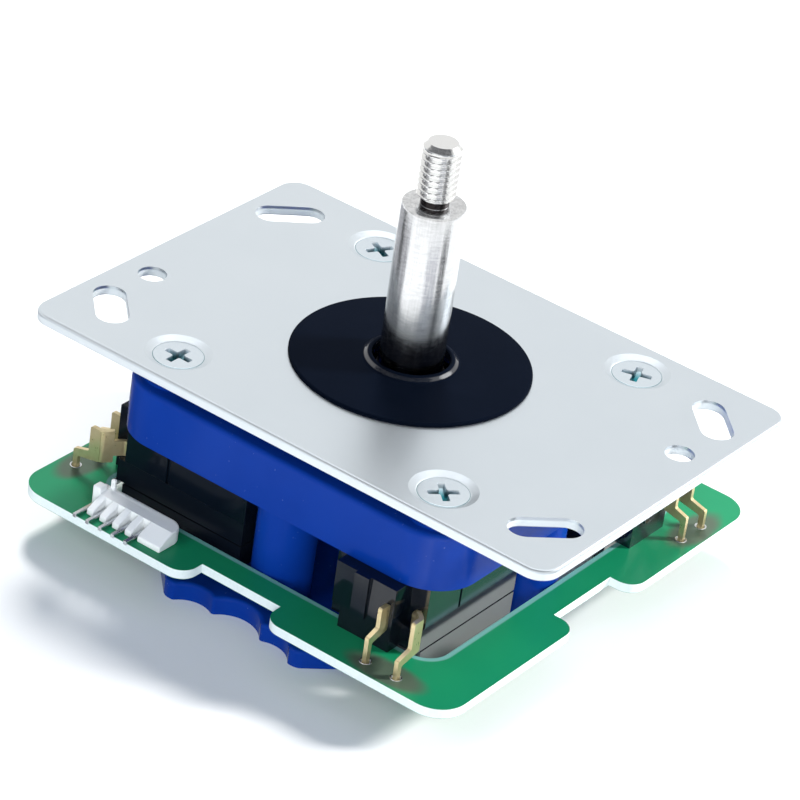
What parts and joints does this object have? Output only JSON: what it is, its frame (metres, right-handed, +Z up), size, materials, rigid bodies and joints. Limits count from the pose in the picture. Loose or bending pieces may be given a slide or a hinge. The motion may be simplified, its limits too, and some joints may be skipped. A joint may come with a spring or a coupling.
{
  "type": "arcade joystick lever",
  "caption": "Panel-mounted joystick lever: slotted steel plate, tilting sprung shaft with threaded end, moulded housing, snap switches on a circuit board and a square gate.",
  "frame": {"origin": "centre of the mounting plate's top face, on the lever's axis", "axes": "+X along the plate's long side, +Y to the side away from the connector, +Z up the lever"},
  "size_m": [0.097, 0.0826, 0.0695],
  "materials": {
    "plated_steel": "zinc plate, satin",
    "screw_zinc": "bright zinc",
    "washer_black": "fine satin",
    "shaft_chrome": "polished",
    "pivot_nylon": "smooth nylon",
    "spring_steel": "drawn wire",
    "actuator_black": "smooth",
    "housing_blue": "glossy moulding",
    "board_green": "solder resist over glass fibre",
    "switch_black": "glossy moulding",
    "switch_grey": "glossy moulding",
    "arm_steel": "spring strip",
    "plunger_ivory": "smooth",
    "terminal_brass": "dull plated",
    "connector_ivory": "smooth nylon",
    "pin_tin": "tinned"
  },
  "bodies": {
    "base": {"mount_plate": "plated_steel", "plate_screws": "screw_zinc", "dust_washer": "washer_black", "spring_seat": "plated_steel", "housing": "housing_blue", "circuit_board": "board_green", "connector_shell": "connector_ivory", "connector_pins": "pin_tin", "restrictor_gate": "housing_blue", "switch_case_right": "switch_black", "switch_case_back": "switch_black", "switch_case_left": "switch_black", "switch_case_front": "switch_black", "switch_cover_right": "switch_grey", "switch_cover_back": "switch_grey", "switch_cover_left": "switch_grey", "switch_cover_front": "switch_grey", "switch_terminals_right": "terminal_brass", "switch_terminals_back": "terminal_brass", "switch_terminals_left": "terminal_brass", "switch_terminals_front": "terminal_brass"},
    "spring": {"return_spring": "spring_steel"},
    "lever": {"lever_shaft": "shaft_chrome", "pivot_ball": "pivot_nylon", "actuator": "actuator_black", "retaining_clip": "spring_steel"},
    "arm_right": {"switch_arm_right": "arm_steel"},
    "plunger_right": {"switch_plunger_right": "plunger_ivory"},
    "arm_back": {"switch_arm_back": "arm_steel"},
    "plunger_back": {"switch_plunger_back": "plunger_ivory"},
    "arm_left": {"switch_arm_left": "arm_steel"},
    "plunger_left": {"switch_plunger_left": "plunger_ivory"},
    "arm_front": {"switch_arm_front": "arm_steel"},
    "plunger_front": {"switch_plunger_front": "plunger_ivory"}
  },
  "joints": [
    {"name": "tilt_front_back", "type": "hinge", "parent": "base", "child": "spring", "pos_m": [0, 0, -0.0036], "axis": [1, 0, 0], "range_deg": [-7, 7], "stiffness_Nm_per_rad": 0.4, "deforming": ["return_spring"]},
    {"name": "tilt_left_right", "type": "hinge", "parent": "spring", "child": "lever", "pos_m": [0, 0, -0.0036], "axis": [0, 1, 0], "range_deg": [-7, 7], "stiffness_Nm_per_rad": 0.4, "deforming": ["return_spring"]},
    {"name": "arm_right_swing", "type": "hinge", "parent": "base", "child": "arm_right", "pos_m": [0.0124, -0.029, -0.01884], "axis": [0, 0, 1], "range_deg": [-3.8, 3.8]},
    {"name": "plunger_right_press", "type": "slide", "parent": "base", "child": "plunger_right", "axis": [1, 0, 0], "range_m": [-0.00055, 0.00055]},
    {"name": "arm_back_swing", "type": "hinge", "parent": "base", "child": "arm_back", "pos_m": [0.029, 0.0124, -0.01884], "axis": [0, 0, 1], "range_deg": [-3.8, 3.8]},
    {"name": "plunger_back_press", "type": "slide", "parent": "base", "child": "plunger_back", "axis": [0, 1, 0], "range_m": [-0.00055, 0.00055]},
    {"name": "arm_left_swing", "type": "hinge", "parent": "base", "child": "arm_left", "pos_m": [-0.0124, 0.029, -0.01884], "axis": [0, 0, 1], "range_deg": [-3.8, 3.8]},
    {"name": "plunger_left_press", "type": "slide", "parent": "base", "child": "plunger_left", "axis": [-1, 0, 0], "range_m": [-0.00055, 0.00055]},
    {"name": "arm_front_swing", "type": "hinge", "parent": "base", "child": "arm_front", "pos_m": [-0.029, -0.0124, -0.01884], "axis": [0, 0, 1], "range_deg": [-3.8, 3.8]},
    {"name": "plunger_front_press", "type": "slide", "parent": "base", "child": "plunger_front", "axis": [0, -1, 0], "range_m": [-0.00055, 0.00055]}
  ],
  "couplings": [
    {"joint": "arm_right_swing", "follows": "tilt_left_right", "ratio": 0.52538},
    {"joint": "plunger_right_press", "follows": "tilt_left_right", "m_per_rad": -0.004203},
    {"joint": "arm_back_swing", "follows": "tilt_front_back", "ratio": -0.52538},
    {"joint": "plunger_back_press", "follows": "tilt_front_back", "m_per_rad": 0.004203},
    {"joint": "arm_left_swing", "follows": "tilt_left_right", "ratio": -0.52538},
    {"joint": "plunger_left_press", "follows": "tilt_left_right", "m_per_rad": 0.004203},
    {"joint": "arm_front_swing", "follows": "tilt_front_back", "ratio": 0.52538},
    {"joint": "plunger_front_press", "follows": "tilt_front_back", "m_per_rad": -0.004203}
  ]
}
